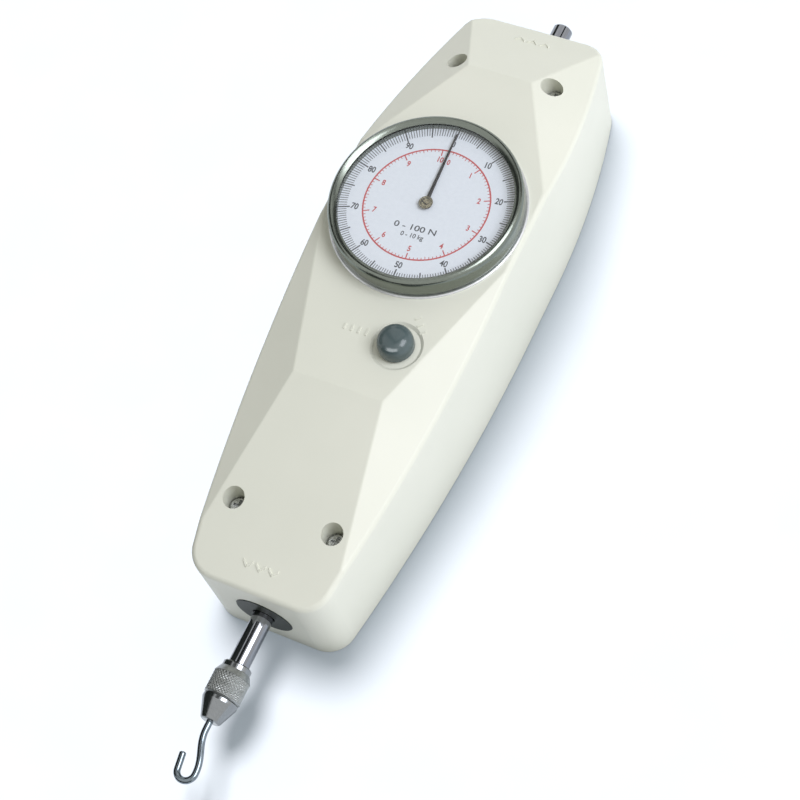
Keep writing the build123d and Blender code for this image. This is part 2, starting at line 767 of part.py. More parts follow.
with BuildPart() as pointer_cap:
    upright(pointer_levels[1], pointer_levels[1] + pointer_cap_size[1], pointer_cap_size[0], 0, dial_y)
    fillet(pointer_cap.faces().sort_by(Axis.Z)[-1].edges(), 0.45)
write(pointer_cap, "pointer_cap")

# ---- Peak hold ----
with BuildPart() as peak_knob:
    with BuildSketch(Plane((knob_x, knob_y, 0), x_dir=(1, 0, 0), z_dir=(0, -1, 0))):
        with BuildLine():
            low = recess_floor + 0.3
            Polyline((0, cam_levels[0] - 0.4), (cam_bore, cam_levels[0] - 0.4), (cam_bore, cam_levels[1]),
                     (spindle_radius, cam_levels[1]), (spindle_radius, low), (knob_radius - 0.5, low),
                     (knob_radius, low + 0.5), (knob_radius, knob_top - knob_dome))
            Spline((knob_radius, knob_top - knob_dome), (0, knob_top), tangents=((0, 1), (-1, 0)))
            Line((0, knob_top), (0, cam_levels[0] - 0.4))
        make_face()
    revolve(axis=knob_axis)
write(peak_knob, "peak_knob")

with BuildPart() as knob_clip:
    washer(clip_levels[0], clip_levels[1], spindle_radius + 1.8, spindle_radius, knob_x, knob_y)
write(knob_clip, "knob_clip")

with BuildPart() as peak_cam:
    upright(cam_levels[0], cam_levels[1], cam_radius, knob_x, knob_y - cam_offset)
    upright(cam_levels[0], cam_levels[1], cam_bore, knob_x, knob_y, Mode.SUBTRACT)
write(peak_cam, "peak_cam")

with BuildPart() as peak_lever:
    with BuildSketch(Plane.XY.offset(wheel_z[0])):
        with BuildLine():
            Polyline((lever_x, lever_y - lever_eye), (lever_tail[0], lever_face_y),
                     (lever_tail[1], lever_face_y), (lever_tail[1], lever_tail_y),
                     (lever_tail[0] + 1.5, lever_tail_y), (lever_x, lever_y + lever_eye), close=True)
        make_face()
        with Locations((lever_x, lever_y)):
            Circle(lever_eye)
            Circle(lever_pin_radius + running_gap, mode=Mode.SUBTRACT)
        with Locations(lever_hole):
            Circle(lever_hole_radius, mode=Mode.SUBTRACT)
    extrude(amount=wheel_z[1] - wheel_z[0])
write(peak_lever, "peak_lever")

with BuildPart() as peak_brake_pad:
    with BuildSketch(Plane.XY.offset(wheel_z[0])):
        with Locations(pad_centre):
            Rectangle(*pad_size)
    extrude(amount=wheel_z[1] - wheel_z[0])
write(peak_brake_pad, "peak_brake_pad")

with BuildPart() as lever_pivot:
    upright(wheel_z[0] - 0.2, roof_z, lever_pin_radius, lever_x, lever_y)
    upright(wheel_z[0] - 1.2, wheel_z[0] - 0.2, lever_shoulder_radius, lever_x, lever_y)
    washer(wheel_z[1] + 0.2, roof_z, lever_shoulder_radius, lever_pin_radius, lever_x, lever_y)
write(lever_pivot, "lever_pivot")

# ---- Pull end ----
collar_low, collar_high = collar_stations
with BuildPart() as shaft_collar:
    around_shaft([(shaft_radius, collar_low), (collar_radius, collar_low), (collar_radius, collar_high - 0.3),
                  (collar_radius - 0.3, collar_high), (shaft_radius, collar_high)])
write(shaft_collar, "shaft_collar")

with BuildPart() as knurled_coupling:
    around_shaft([(shaft_radius, collar_low), (coupling_neck, collar_low), (coupling_radius, collar_low - 1.8),
                  (coupling_radius, coupling_end + 0.4), (coupling_radius - 0.4, coupling_end),
                  (swivel_neck + running_gap, coupling_end),
                  (swivel_neck + running_gap, coupling_end + 0.9), (swivel_head + running_gap, coupling_end + 0.9),
                  (swivel_head + running_gap, coupling_end + 3.4), (shaft_radius, coupling_end + 3.4)])
write(knurled_coupling, "knurled_coupling")

with BuildPart() as swivel_nose:
    around_shaft([(0, coupling_end + 3.3), (swivel_head, coupling_end + 3.3), (swivel_head, coupling_end + 1.0),
                  (swivel_neck, coupling_end + 1.0), (swivel_neck, coupling_end - 0.1),
                  (nose_radius - 0.2, coupling_end - 0.1), (nose_radius, coupling_end - 0.3),
                  (nose_radius, coupling_end - 1.2), (nose_tip_radius, nose_end + 0.3),
                  (nose_tip_radius - 0.4, nose_end), (0, nose_end)])
    with BuildSketch(along_y(nose_end + 5)):
        Circle(hook_wire)
    extrude(amount=6, mode=Mode.SUBTRACT)
write(swivel_nose, "swivel_nose")

bowl_x, bowl_y = hook_bowl
bowl_right = (bowl_x + hook_bowl_radius, bowl_y)
bowl_bottom = (bowl_x, bowl_y - hook_bowl_radius)
bowl_left = (bowl_x - hook_bowl_radius * cos(hook_lean), bowl_y - hook_bowl_radius * sin(hook_lean))
hook_tip = (bowl_left[0] - hook_tip_length * sin(hook_lean), bowl_left[1] + hook_tip_length * cos(hook_lean))
with BuildPart() as hook:
    with BuildLine(Plane((0, 0, shaft_z))) as wire:
        Line((0, nose_end + 5), (0, hook_bend_y))
        Bezier((0, hook_bend_y), (0, hook_bend_y - hook_bend_pull),
               (bowl_right[0], bowl_right[1] + hook_bend_pull), bowl_right)
        ThreePointArc(bowl_right, bowl_bottom, bowl_left)
        Line(bowl_left, hook_tip)
    with BuildSketch(along_y(nose_end + 5)):
        Circle(hook_wire)
    sweep(path=wire.line)
    fillet(hook.faces().filter_by(GeomType.PLANE).sort_by(Axis.X)[0].edges(), hook_tip_rounding)
write(hook, "hook")
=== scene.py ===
"""Looks of a mechanical force gauge: materials, the printed dial, raised marks, the knurl and soft studio light."""

import json
import math

import bmesh
import bpy
from mathutils import Matrix, Vector
from mathutils.bvhtree import BVHTree


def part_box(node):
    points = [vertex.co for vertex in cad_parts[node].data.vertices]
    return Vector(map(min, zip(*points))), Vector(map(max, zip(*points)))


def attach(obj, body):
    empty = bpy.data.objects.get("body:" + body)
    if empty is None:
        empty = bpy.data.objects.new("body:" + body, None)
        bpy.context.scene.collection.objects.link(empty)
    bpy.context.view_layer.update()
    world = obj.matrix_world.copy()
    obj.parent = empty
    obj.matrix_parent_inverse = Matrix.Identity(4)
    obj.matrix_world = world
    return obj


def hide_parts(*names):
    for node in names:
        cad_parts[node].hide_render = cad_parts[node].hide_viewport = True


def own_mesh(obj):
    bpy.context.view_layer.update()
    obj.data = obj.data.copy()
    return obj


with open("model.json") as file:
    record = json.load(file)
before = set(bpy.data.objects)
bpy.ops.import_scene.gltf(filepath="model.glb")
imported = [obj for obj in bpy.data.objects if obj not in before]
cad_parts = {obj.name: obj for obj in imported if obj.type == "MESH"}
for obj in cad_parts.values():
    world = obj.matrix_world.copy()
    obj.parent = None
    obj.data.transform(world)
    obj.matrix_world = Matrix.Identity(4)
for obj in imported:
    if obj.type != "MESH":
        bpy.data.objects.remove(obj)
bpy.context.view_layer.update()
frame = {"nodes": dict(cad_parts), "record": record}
nodes = frame["nodes"]

# ---- Sizes, in millimetres and degrees, in the CAD's own frame ----
MM = 0.001
DIAL_CENTRE = (0.0, 21.6)
DIAL_TURN = 2.8                  # of the print, anticlockwise
PRINT_HEIGHT = 0.03
SHAFT_Z = 14.5

DIVISIONS = 200                  # of the black scale
SCALE_STEP = 360 / DIVISIONS
OUTER_EDGE = 24.95
LONG_TICK = 21.6                 # inner ends of the ticks
HALF_TICK = 21.9
SHORT_TICK = 22.5
LONG_WIDTH = 0.38
HALF_WIDTH = 0.35
SHORT_WIDTHS = (0.20, 0.17)      # at every other tick
NUMERAL_RADIUS = 20.25
NUMERAL_SIZE = 2.65

INNER_DIVISIONS = 100            # of the red scale
INNER_NUMBER_STEP = 35.3
INNER_STEP = INNER_NUMBER_STEP / 10
INNER_CIRCLE = 17.9
INNER_LINE = 0.22                # half its width
INNER_LONG = 16.0
INNER_SHORT = 17.15
INNER_MIDDLE = 0.25              # longer by this at every fifth tick
INNER_LONG_WIDTH = 0.32
INNER_SHORT_WIDTH = 0.18
INNER_NUMERAL_RADIUS = 14.65
INNER_NUMERAL_SIZE = 2.4

NUMERAL_WEIGHT = 0.06            # how far the figures' outlines spread
UNIT_WEIGHT = 0.025


# ---- Node helpers for materials ----
def new_material(name, colour, metallic, roughness):
    """A Principled material whose node tree is ready for more nodes."""
    made = bpy.data.materials.new(name)
    made.use_nodes = True
    shader = made.node_tree.nodes["Principled BSDF"]
    shader.inputs["Base Color"].default_value = (*colour, 1)
    shader.inputs["Metallic"].default_value = metallic
    shader.inputs["Roughness"].default_value = roughness
    return made, shader


def add_node(material, kind, **values):
    node = material.node_tree.nodes.new(kind)
    for name, value in values.items():
        if name in node.inputs:
            node.inputs[name].default_value = value
        else:
            setattr(node, name, value)
    return node


def link(material, source, target):
    material.node_tree.links.new(source, target)


def place(material, stretch=(1, 1, 1)):
    """Object coordinates, which follow the piece, stretched along each axis."""
    coordinates = add_node(material, "ShaderNodeTexCoord")
    mapping = add_node(material, "ShaderNodeMapping", Scale=stretch)
    link(material, coordinates.outputs["Object"], mapping.inputs["Vector"])
    return mapping.outputs["Vector"]


def noise(material, per_metre, detail=2.0, stretch=(1, 1, 1)):
    texture = add_node(material, "ShaderNodeTexNoise", Scale=per_metre, Detail=detail)
    link(material, place(material, stretch), texture.inputs["Vector"])
    return texture.outputs["Fac"]


def ramp(material, value, low, high, at=(0.3, 0.7)):
    """Turns a value into a colour between two colours."""
    node = add_node(material, "ShaderNodeValToRGB")
    stops = node.color_ramp.elements
    stops[0].position = at[0]
    stops[1].position = at[1]
    stops[0].color = (*low, 1)
    stops[1].color = (*high, 1)
    link(material, value, node.inputs["Fac"])
    return node.outputs["Color"]


def vary_colour(material, shader, value, low, high, at=(0.3, 0.7)):
    link(material, ramp(material, value, low, high, at), shader.inputs["Base Color"])


def vary_roughness(material, shader, value, low, high):
    span = add_node(material, "ShaderNodeMapRange")
    span.inputs["To Min"].default_value = low
    span.inputs["To Max"].default_value = high
    link(material, value, span.inputs["Value"])
    link(material, span.outputs["Result"], shader.inputs["Roughness"])


def add_bump(material, shader, value, strength, distance):
    bump = add_node(material, "ShaderNodeBump", Strength=strength, Distance=distance)
    link(material, value, bump.inputs["Height"])
    link(material, bump.outputs["Normal"], shader.inputs["Normal"])


def metal(name, low, high, rough, stretch=(1, 1, 1), per_metre=2500, bump=0.05):
    """Metal with fine machining lines or grain, and a slight change of tone."""
    made, shader = new_material(name, high, 1.0, rough[0])
    grain = noise(made, per_metre, 3.0, stretch)
    vary_colour(made, shader, grain, low, high)
    vary_roughness(made, shader, grain, *rough)
    add_bump(made, shader, grain, bump, 0.00003)
    return made


# ---- Materials ----
def cream_paint():
    made, shader = new_material("cream_paint", (0.74, 0.745, 0.66), 0.0, 0.42)
    tone = noise(made, 26, 3.0)
    vary_colour(made, shader, tone, (0.725, 0.735, 0.645), (0.765, 0.77, 0.68))
    peel = noise(made, 1500, 2.0)
    vary_roughness(made, shader, peel, 0.36, 0.46)
    add_bump(made, shader, peel, 0.12, 0.00004)
    shader.inputs["Specular IOR Level"].default_value = 0.45
    return made


def dial_print_base():
    made, shader = new_material("dial_white", (0.70, 0.75, 0.82), 0.0, 0.5)
    grain = noise(made, 900, 3.0)
    vary_colour(made, shader, grain, (0.69, 0.74, 0.81), (0.72, 0.77, 0.84))
    add_bump(made, shader, grain, 0.04, 0.00002)
    return made


def ink(name, low, high):
    made, shader = new_material(name, high, 0.0, 0.45)
    vary_colour(made, shader, noise(made, 4000, 2.0), low, high)
    return made


def window():
    """Clear sheet; light reaches the dial through it unbent."""
    made, shader = new_material("clear_window", (1, 1, 1), 0.0, 0.02)
    shader.inputs["Transmission Weight"].default_value = 1.0
    shader.inputs["IOR"].default_value = 1.46
    haze = noise(made, 300, 2.0)
    vary_roughness(made, shader, haze, 0.005, 0.02)
    path = add_node(made, "ShaderNodeLightPath")
    clear = add_node(made, "ShaderNodeBsdfTransparent")
    mix = add_node(made, "ShaderNodeMixShader")
    lighting = add_node(made, "ShaderNodeMath", operation="ADD", use_clamp=True)
    link(made, path.outputs["Is Shadow Ray"], lighting.inputs[0])
    link(made, path.outputs["Is Diffuse Ray"], lighting.inputs[1])
    link(made, lighting.outputs[0], mix.inputs[0])
    link(made, shader.outputs[0], mix.inputs[1])
    link(made, clear.outputs[0], mix.inputs[2])
    output = made.node_tree.nodes["Material Output"]
    link(made, mix.outputs[0], output.inputs["Surface"])
    return made


def knob_plastic():
    made, shader = new_material("slate_knob", (0.075, 0.105, 0.108), 0.0, 0.2)
    vary_colour(made, shader, noise(made, 260, 3.0), (0.068, 0.098, 0.102), (0.085, 0.115, 0.118))
    fine = noise(made, 2200, 2.0)
    vary_roughness(made, shader, fine, 0.17, 0.25)
    add_bump(made, shader, fine, 0.04, 0.00002)
    return made


def dark_plate():
    made, shader = new_material("dark_plate", (0.045, 0.048, 0.040), 0.2, 0.45)
    vary_colour(made, shader, noise(made, 900, 3.0), (0.020, 0.026, 0.019), (0.034, 0.040, 0.031))
    add_bump(made, shader, noise(made, 3000, 2.0), 0.08, 0.00003)
    shader.inputs["Specular IOR Level"].default_value = 0.3
    return made


paint = cream_paint()
dial_white = dial_print_base()
black_ink = ink("black_ink", (0.030, 0.036, 0.048), (0.045, 0.052, 0.065))
red_ink = ink("red_ink", (0.46, 0.055, 0.060), (0.54, 0.075, 0.080))
clear = window()
slate = knob_plastic()
plate = dark_plate()
polished = metal("polished_steel", (0.180, 0.202, 0.174), (0.223, 0.245, 0.214), (0.19, 0.27), (1, 1, 14), 900)
chrome = metal("chrome", (0.244, 0.254, 0.277), (0.304, 0.314, 0.337), (0.05, 0.10), (1, 0.05, 1), 2600, 0.03)
turned_steel = metal("turned_steel", (0.238, 0.251, 0.257), (0.317, 0.330, 0.337), (0.14, 0.24), (1, 12, 1), 1500)
nickel = metal("nickel", (0.317, 0.331, 0.324), (0.432, 0.446, 0.439), (0.30, 0.42), (1, 1, 1), 1800)
hook_wire = metal("hook_wire", (0.168, 0.203, 0.224), (0.252, 0.294, 0.322), (0.14, 0.22), (1, 0.2, 1), 2200)
screw_metal = metal("screw_metal", (0.400, 0.408, 0.400), (0.560, 0.568, 0.552), (0.22, 0.34), (1, 1, 1), 1600)
zinc = metal("zinc_steel", (0.52, 0.54, 0.56), (0.66, 0.68, 0.69), (0.30, 0.45), (1, 1, 1), 700)
bare_steel = metal("bare_steel", (0.46, 0.47, 0.48), (0.60, 0.61, 0.62), (0.26, 0.38), (1, 1, 1), 1200)
bronze = metal("bronze", (0.40, 0.24, 0.12), (0.52, 0.33, 0.17), (0.30, 0.42), (1, 1, 1), 1500)
brass = metal("brass", (0.62, 0.46, 0.20), (0.74, 0.57, 0.27), (0.20, 0.32), (1, 1, 1), 1400)
gilt = metal("gilt_cap", (0.180, 0.162, 0.104), (0.279, 0.252, 0.171), (0.08, 0.14), (1, 1, 1), 1500, 0.03)
spring_steel = metal("spring_steel", (0.20, 0.22, 0.25), (0.32, 0.34, 0.37), (0.28, 0.40), (1, 1, 1), 1400)
aluminium = metal("bare_aluminium", (0.62, 0.63, 0.64), (0.76, 0.77, 0.78), (0.30, 0.42), (1, 8, 1), 900)
black_metal = metal("pointer_black", (0.010, 0.010, 0.012), (0.020, 0.020, 0.023), (0.35, 0.45), (1, 1, 1), 1500)
rubber = ink("black_rubber", (0.018, 0.018, 0.018), (0.035, 0.035, 0.035))

FINISH = {
    "painted_metal_cream": paint,
    "zinc_steel": zinc,
    "black_plate": plate,
    "bare_aluminium": aluminium,
    "bronze": bronze,
    "chrome_steel": chrome,
    "dark_steel": black_metal,
    "spring_steel": spring_steel,
    "bare_steel": bare_steel,
    "brass": brass,
    "polished_steel": polished,
    "dial_white": dial_white,
    "clear_window": clear,
    "pointer_black": black_metal,
    "knob_grey": slate,
    "black_rubber": rubber,
    "nickel_knurled": nickel,
    "hook_steel": hook_wire,
}
slot_of = {part["node"]: part["material_slot"] for part in frame["record"]["subparts"]}
for node_name, cad_object in nodes.items():
    for material_slot in cad_object.material_slots:
        material_slot.material = FINISH[slot_of[node_name]]
for node_name, finish in {
    "housing_screws": screw_metal,
    "pointer_cap": gilt,
    "shaft_collar": turned_steel,
    "swivel_nose": turned_steel,
    "push_stud": chrome,
    "seat_ring_nut": aluminium,
}.items():
    for material_slot in nodes[node_name].material_slots:
        material_slot.material = finish


# ---- Mesh helpers ----
def add_piece(name, mesh, material, body, smooth=False):
    """A new piece of the object that rides on a body."""
    piece = bpy.data.objects.new(name, mesh)
    bpy.context.scene.collection.objects.link(piece)
    mesh.materials.clear()
    mesh.materials.append(material)
    if smooth:
        for polygon in mesh.polygons:
            polygon.use_smooth = True
    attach(piece, body)
    return piece


def dial_point(clockwise, radius, height):
    """Place on the dial at an angle clockwise from its zero, which is turned with the bezel."""
    angle = math.radians(clockwise - DIAL_TURN)
    x = DIAL_CENTRE[0] + radius * math.sin(angle)
    y = DIAL_CENTRE[1] + radius * math.cos(angle)
    return Vector((x, y, height)) * MM


def band(bm, first, second):
    """Faces all the way round between two closed loops."""
    for i in range(len(first)):
        j = (i + 1) % len(first)
        bm.faces.new((first[i], first[j], second[j], second[i]))


def block(bm, low, high):
    """Closed block between its lower and its upper corners."""
    bm.faces.new(list(reversed(low)))
    bm.faces.new(high)
    band(bm, low, high)


def tick(bm, clockwise, inner, outer, width, height):
    """Thin printed line along a radius of the dial."""
    middle = dial_point(clockwise, (inner + outer) / 2, height)
    along = (dial_point(clockwise, outer, height) - dial_point(clockwise, inner, height)) / 2
    across = Vector((-along.y, along.x, 0)).normalized() * width / 2 * MM
    corners = [middle - along - across, middle - along + across, middle + along + across, middle + along - across]
    if (corners[1] - corners[0]).cross(corners[3] - corners[0]).z < 0:
        corners.reverse()
    rise = Vector((0, 0, PRINT_HEIGHT * MM))
    low = [bm.verts.new(corner) for corner in corners]
    high = [bm.verts.new(corner + rise) for corner in corners]
    block(bm, low, high)


def ring(bm, inner, outer, height, count=180):
    """Thin printed circle."""
    levels = (height, height + PRINT_HEIGHT)
    loops = []
    for radius, level in ((inner, levels[0]), (outer, levels[0]), (outer, levels[1]), (inner, levels[1])):
        loops.append([bm.verts.new(dial_point(360 * i / count, radius, level)) for i in range(count)])
    for k in range(4):
        band(bm, loops[k], loops[(k + 1) % 4])


def to_mesh(name, bm):
    bmesh.ops.recalc_face_normals(bm, faces=bm.faces)
    mesh = bpy.data.meshes.new(name)
    bm.to_mesh(mesh)
    bm.free()
    return mesh


def printed_figures(name, labels, ink_used, weight):
    """Figures printed on the dial. Each label is (text, degrees clockwise, radius, size, width factor)."""
    bm = bmesh.new()
    for text, clockwise, radius, size, narrow in labels:
        curve = bpy.data.curves.new(name, "FONT")
        curve.body = text
        curve.size = size * MM
        curve.align_x = "CENTER"
        curve.align_y = "CENTER"
        curve.extrude = PRINT_HEIGHT * MM / 2
        curve.offset = weight * MM
        carrier = bpy.data.objects.new(name, curve)
        bpy.context.scene.collection.objects.link(carrier)
        bpy.context.view_layer.update()
        flat = bpy.data.meshes.new_from_object(carrier.evaluated_get(bpy.context.evaluated_depsgraph_get()))
        flat.transform(Matrix.Diagonal((narrow, 1, 1, 1)))
        flat.transform(Matrix.Rotation(math.radians(DIAL_TURN), 4, "Z"))
        flat.transform(Matrix.Translation(dial_point(clockwise, radius, dial_top + PRINT_HEIGHT / 2)))
        bm.from_mesh(flat)
        bpy.data.objects.remove(carrier)
        bpy.data.curves.remove(curve)
        bpy.data.meshes.remove(flat)
    bmesh.ops.remove_doubles(bm, verts=bm.verts, dist=1e-7)
    add_piece(name, to_mesh(name, bm), ink_used, "dial_bezel")


# ---- Printed dial ----
dial_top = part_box("dial_plate")[1].z / MM

bm = bmesh.new()
for step in range(DIVISIONS):
    if step % 20 == 0:
        tick(bm, step * SCALE_STEP, LONG_TICK, OUTER_EDGE, LONG_WIDTH, dial_top)
    elif step % 10 == 0:
        tick(bm, step * SCALE_STEP, HALF_TICK, OUTER_EDGE, HALF_WIDTH, dial_top)
    else:
        tick(bm, step * SCALE_STEP, SHORT_TICK, OUTER_EDGE, SHORT_WIDTHS[step % 2], dial_top)
add_piece("outer_scale_marks", to_mesh("outer_scale_marks", bm), black_ink, "dial_bezel")

bm = bmesh.new()
ring(bm, INNER_CIRCLE - INNER_LINE, INNER_CIRCLE + INNER_LINE, dial_top)
for step in range(INNER_DIVISIONS + 1):
    if step % 10 == 0:
        tick(bm, step * INNER_STEP, INNER_LONG, INNER_CIRCLE, INNER_LONG_WIDTH, dial_top)
    else:
        inner_end = INNER_SHORT - (INNER_MIDDLE if step % 5 == 0 else 0)
        tick(bm, step * INNER_STEP, inner_end, INNER_CIRCLE, INNER_SHORT_WIDTH, dial_top)
add_piece("inner_scale_marks", to_mesh("inner_scale_marks", bm), red_ink, "dial_bezel")

FIGURE_WIDTH = 0.82              # the figures are this much narrower than the font
outer_numbers = [(str(10 * i), 36 * i, NUMERAL_RADIUS, NUMERAL_SIZE, FIGURE_WIDTH) for i in range(1, 10)]
outer_numbers.append(("0", 0, NUMERAL_RADIUS, NUMERAL_SIZE, FIGURE_WIDTH))
printed_figures("outer_numerals", outer_numbers, black_ink, NUMERAL_WEIGHT)

units = [("0 - 100 N", 180, 8.1, 2.5, 1.3), ("0 - 10 kg", 180, 10.6, 2.0, 0.95)]
printed_figures("dial_units", units, black_ink, UNIT_WEIGHT)

inner_numbers = [(str(i), INNER_NUMBER_STEP * i, INNER_NUMERAL_RADIUS, INNER_NUMERAL_SIZE, FIGURE_WIDTH)
                 for i in range(1, 11)]
inner_numbers.append(("0", 3.5, INNER_NUMERAL_RADIUS - 0.3, 2.2, FIGURE_WIDTH))
printed_figures("inner_numerals", inner_numbers, red_ink, NUMERAL_WEIGHT)


# ---- Raised marks on the housing ----
housing_mesh = nodes["front_housing"].data
housing_skin = BVHTree.FromPolygons([v.co.copy() for v in housing_mesh.vertices],
                                    [tuple(p.vertices) for p in housing_mesh.polygons])


def on_housing(x, y):
    """Point of the housing's front straight below a place in its plan, in millimetres."""
    hit = housing_skin.ray_cast(Vector((x, y, 100)) * MM, Vector((0, 0, -1)))[0]
    return hit / MM


def raised(bm, corners, rise=0.28, root=0.12):
    """Low block that follows the housing's slope, with sides that lean in like a moulded mark's."""
    middle = sum((Vector(c) for c in corners), Vector((0, 0))) / len(corners)
    low = []
    high = []
    for corner in corners:
        top = middle + (Vector(corner) - middle) * 0.9
        foot = on_housing(*corner) - Vector((0, 0, root))
        crest = on_housing(*top) + Vector((0, 0, rise))
        low.append(bm.verts.new(foot * MM))
        high.append(bm.verts.new(crest * MM))
    block(bm, low, high)


def chevron(bm, x, y, point):
    """Small arrow head; point is +1 towards the push end and -1 towards the pull end."""
    half, long, thick = 1.5, 1.5 * point, 0.75 * point
    raised(bm, [(x - half, y), (x, y + long), (x, y + long - thick), (x - half, y - thick)])
    raised(bm, [(x, y + long), (x + half, y), (x + half, y - thick), (x, y + long - thick)])


def bar(bm, start, end, width=0.55):
    """Raised dash between two places on the housing's plan."""
    first, last = Vector(start), Vector(end)
    along = last - first
    across = Vector((-along.y, along.x)).normalized() * width / 2
    raised(bm, [tuple(first - across), tuple(last - across), tuple(last + across), tuple(first + across)])


PULL_MARKS_Y = -88.0
PUSH_MARKS_Y = 88.6
KNOB_MARK = (-6.2, -20.2)        # foot of the first of the dashes left of the knob
KNOB_MARK_PITCH = 2.2
FAN_MARK = (11.3, -11.0)         # start of the first of the dashes right of it

bm = bmesh.new()
for x in (-3.9, 0.0, 3.9):
    chevron(bm, x, PULL_MARKS_Y, -1)
    chevron(bm, x + 0.8, PUSH_MARKS_Y, 1)
for k in range(4):
    x = KNOB_MARK[0] + KNOB_MARK_PITCH * k
    bar(bm, (x, KNOB_MARK[1]), (x, KNOB_MARK[1] + 1.9 + 0.2 * k))
for k in range(3):
    x, y = FAN_MARK[0] + 1.5 * k, FAN_MARK[1] - 1.8 * k
    bar(bm, (x, y), (x + 1.4, y + 1.2))
add_piece("raised_marks", to_mesh("raised_marks", bm), paint, "housing")


# ---- Knurled coupling ----
def knurled_ring():
    """Ring with a fine diamond knurl between two plain chamfers, bored for the shaft."""
    low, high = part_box("knurled_coupling")
    radius = (high.x - low.x) / 2 / MM
    start = low.y / MM
    end = high.y / MM
    around = 168                 # points in each loop
    ridges = 34
    rows = 60
    groove = 0.3
    bore = 2.2
    knurl_from = start + 0.5
    knurl_to = end - 1.9
    bm = bmesh.new()
    loops = []
    profile = [(start, radius - 0.45, 0), (start + 0.4, radius - 0.05, 0), (knurl_from, radius - 0.02, 0)]
    for k in range(rows + 1):
        profile.append((knurl_from + (knurl_to - knurl_from) * k / rows, radius, 1))
    profile += [(end - 1.8, radius - 0.02, 0), (end - 0.05, radius - 0.93, 0), (end, radius - 1.0, 0)]
    pitch = 2 * math.pi * radius / ridges
    for y, r, cut in profile:
        loop = []
        for i in range(around):
            angle = 2 * math.pi * i / around
            turn = ridges * i / around
            along = (y - start) / pitch
            one = abs(((turn + along) % 1) - 0.5) * 2
            other = abs(((turn - along) % 1) - 0.5) * 2
            depth = cut * groove * (1 - min(one, other) ** 0.9)
            place_at = (r - depth) * math.cos(angle), y, SHAFT_Z + (r - depth) * math.sin(angle)
            loop.append(bm.verts.new(Vector(place_at) * MM))
        loops.append(loop)
    for first, second in zip(loops, loops[1:]):
        band(bm, first, second)
    inner = []
    for y in (start, end):
        inner.append([bm.verts.new(Vector((bore * math.cos(2 * math.pi * i / around), y,
                                           SHAFT_Z + bore * math.sin(2 * math.pi * i / around))) * MM)
                      for i in range(around)])
    for first, second in ((inner[0], loops[0]), (loops[-1], inner[1]), (inner[1], inner[0])):
        band(bm, first, second)
    piece = add_piece("diamond_knurl", to_mesh("diamond_knurl", bm), nickel, "shaft")
    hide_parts("knurled_coupling")


knurled_ring()


# ---- Pointer's cap ----
CAP_SIDES = 64
CAP_PROFILE = (                  # share of the radius, share of the height
    (1.0, 0.0), (1.0, 0.30), (0.97, 0.40), (0.90, 0.43), (0.82, 0.38), (0.76, 0.36), (0.72, 0.44), (0.68, 0.58),
    (0.60, 0.72), (0.48, 0.85), (0.34, 0.94), (0.18, 0.99),
)


def crowned_cap():
    """Crowned button on a thin rim."""
    low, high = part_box("pointer_cap")
    radius = (high.x - low.x) / 2
    middle = (low + high) / 2
    bm = bmesh.new()
    loops = []
    for wide, tall in CAP_PROFILE:
        loop = []
        for side in range(CAP_SIDES):
            angle = 2 * math.pi * side / CAP_SIDES
            loop.append(bm.verts.new((middle.x + wide * radius * math.cos(angle),
                                      middle.y + wide * radius * math.sin(angle),
                                      low.z + tall * (high.z - low.z))))
        loops.append(loop)
    for first, second in zip(loops, loops[1:]):
        band(bm, first, second)
    crown = bm.verts.new((middle.x, middle.y, high.z))
    top = loops[-1]
    for side in range(CAP_SIDES):
        bm.faces.new((top[side], top[(side + 1) % CAP_SIDES], crown))
    bm.faces.new(reversed(loops[0]))
    cap = add_piece("crowned_cap", to_mesh("crowned_cap", bm), gilt, "pointer_arbor",
                    smooth=True)
    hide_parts("pointer_cap")


crowned_cap()


# ---- Main spring ----
SPRING_WIRE = 0.9                # its radius
SPRING_TURNS = 8
SPRING_SIDES = 12                # of the wire
SPRING_STEPS = 40                # in each turn


def closing_spring():
    """Coil of wire in the main spring's place, riding on the housing; the real coil closes up as the shaft is
    pulled out, this one keeps its length.
    """
    low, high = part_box("main_spring")
    length = high.y - low.y
    wire = SPRING_WIRE * MM
    radius = (high.x - low.x) / 2 - wire
    centre_x, centre_z = (low.x + high.x) / 2, (low.z + high.z) / 2
    steps = SPRING_TURNS * SPRING_STEPS
    bm = bmesh.new()
    loops = []
    for step in range(steps + 1):
        share = step / steps
        angle = 2 * math.pi * SPRING_TURNS * share
        outward = Vector((math.cos(angle), 0, math.sin(angle)))
        middle = Vector((centre_x, low.y + wire + share * (length - 2 * wire), centre_z)) + radius * outward
        loop = []
        for side in range(SPRING_SIDES):
            turn = 2 * math.pi * side / SPRING_SIDES
            offset = wire * (math.cos(turn) * outward + math.sin(turn) * Vector((0, 1, 0)))
            loop.append(bm.verts.new(middle + offset))
        loops.append(loop)
    bm.faces.new(loops[0])
    for first, second in zip(loops, loops[1:]):
        band(bm, first, second)
    bm.faces.new(reversed(loops[-1]))
    spring = add_piece("spring_wire", to_mesh("spring_wire", bm), FINISH[slot_of["main_spring"]], "housing",
                       smooth=True)
    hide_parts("main_spring")
    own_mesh(spring)


closing_spring()


# ---- Floor, light and camera ----
FLOOR_LIFT = 0.19
LAMP_TARGET = Vector((0, 0, 0.02))
SKY_STRENGTH = 0.50
SKY_LEAN = (0.16, 0.17, 0.0)     # the soft light is stronger from the right and from behind


def seen_or_mirrored(material):
    """1 for what the camera sees, also in a mirror or through glass, and 0 for what lights the object."""
    path = add_node(material, "ShaderNodeLightPath")
    seen = path.outputs["Is Camera Ray"]
    for kind in ("Is Transmission Ray", "Is Glossy Ray"):
        either = add_node(material, "ShaderNodeMath", operation="ADD", use_clamp=True)
        link(material, seen, either.inputs[0])
        link(material, path.outputs[kind], either.inputs[1])
        seen = either.outputs[0]
    return seen


